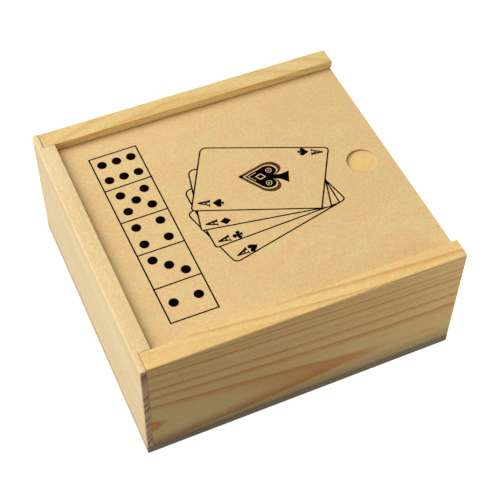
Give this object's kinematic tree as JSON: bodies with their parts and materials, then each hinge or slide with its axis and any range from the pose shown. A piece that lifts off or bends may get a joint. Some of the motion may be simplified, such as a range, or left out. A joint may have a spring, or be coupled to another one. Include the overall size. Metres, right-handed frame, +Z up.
{
  "type": "games compendium box",
  "caption": "Square wooden games box with a sliding plywood lid, divided inside for playing cards, dominoes and dice.",
  "frame": {"origin": "middle of the underside", "axes": "+X is the way the lid slides out, +Y is the back, +Z is up"},
  "size_m": [0.165, 0.154, 0.072],
  "materials": {
    "pine_long": "clear satin, fine straight grain",
    "pine_end": "clear satin, flat grain",
    "bottom_ply": "unfinished plywood with dark edge plies",
    "brad_steel": "plain",
    "lid_ply": "clear satin, close even figure",
    "divider_pine": "planed",
    "cards_red": "satin coated card",
    "cards_blue": "satin coated card",
    "domino_wood": "sanded, clear satin",
    "die_plastic": "polished",
    "print_ink": "matt black print on the lid and the tiles"
  },
  "bodies": {
    "box": {"front_wall": "pine_long", "back_wall": "pine_long", "left_wall": "pine_end", "right_wall": "pine_end", "bottom_panel": "bottom_ply", "bottom_brads": "brad_steel", "cross_divider": "divider_pine", "short_divider": "divider_pine", "card_deck_1": "cards_red", "card_deck_2": "cards_blue", "domino_0_0": "domino_wood", "domino_0_1": "domino_wood", "domino_0_2": "domino_wood", "domino_0_3": "domino_wood", "domino_0_4": "domino_wood", "domino_0_5": "domino_wood", "domino_0_6": "domino_wood", "domino_1_1": "domino_wood", "domino_1_2": "domino_wood", "domino_1_3": "domino_wood", "domino_1_4": "domino_wood", "domino_1_5": "domino_wood", "domino_1_6": "domino_wood", "domino_2_2": "domino_wood", "domino_2_3": "domino_wood", "domino_2_4": "domino_wood", "domino_2_5": "domino_wood", "domino_2_6": "domino_wood", "domino_3_3": "domino_wood", "domino_3_4": "domino_wood", "domino_3_5": "domino_wood", "domino_3_6": "domino_wood", "domino_4_4": "domino_wood", "domino_4_5": "domino_wood", "domino_4_6": "domino_wood", "domino_5_5": "domino_wood", "domino_5_6": "domino_wood", "domino_6_6": "domino_wood", "die_1": "die_plastic", "die_2": "die_plastic", "die_3": "die_plastic", "die_4": "die_plastic", "die_5": "die_plastic"},
    "lid": {"lid": "lid_ply"}
  },
  "joints": [
    {"name": "lid_slide", "type": "slide", "parent": "box", "child": "lid", "axis": [1, 0, 0], "range_m": [0, 0.1588]}
  ]
}
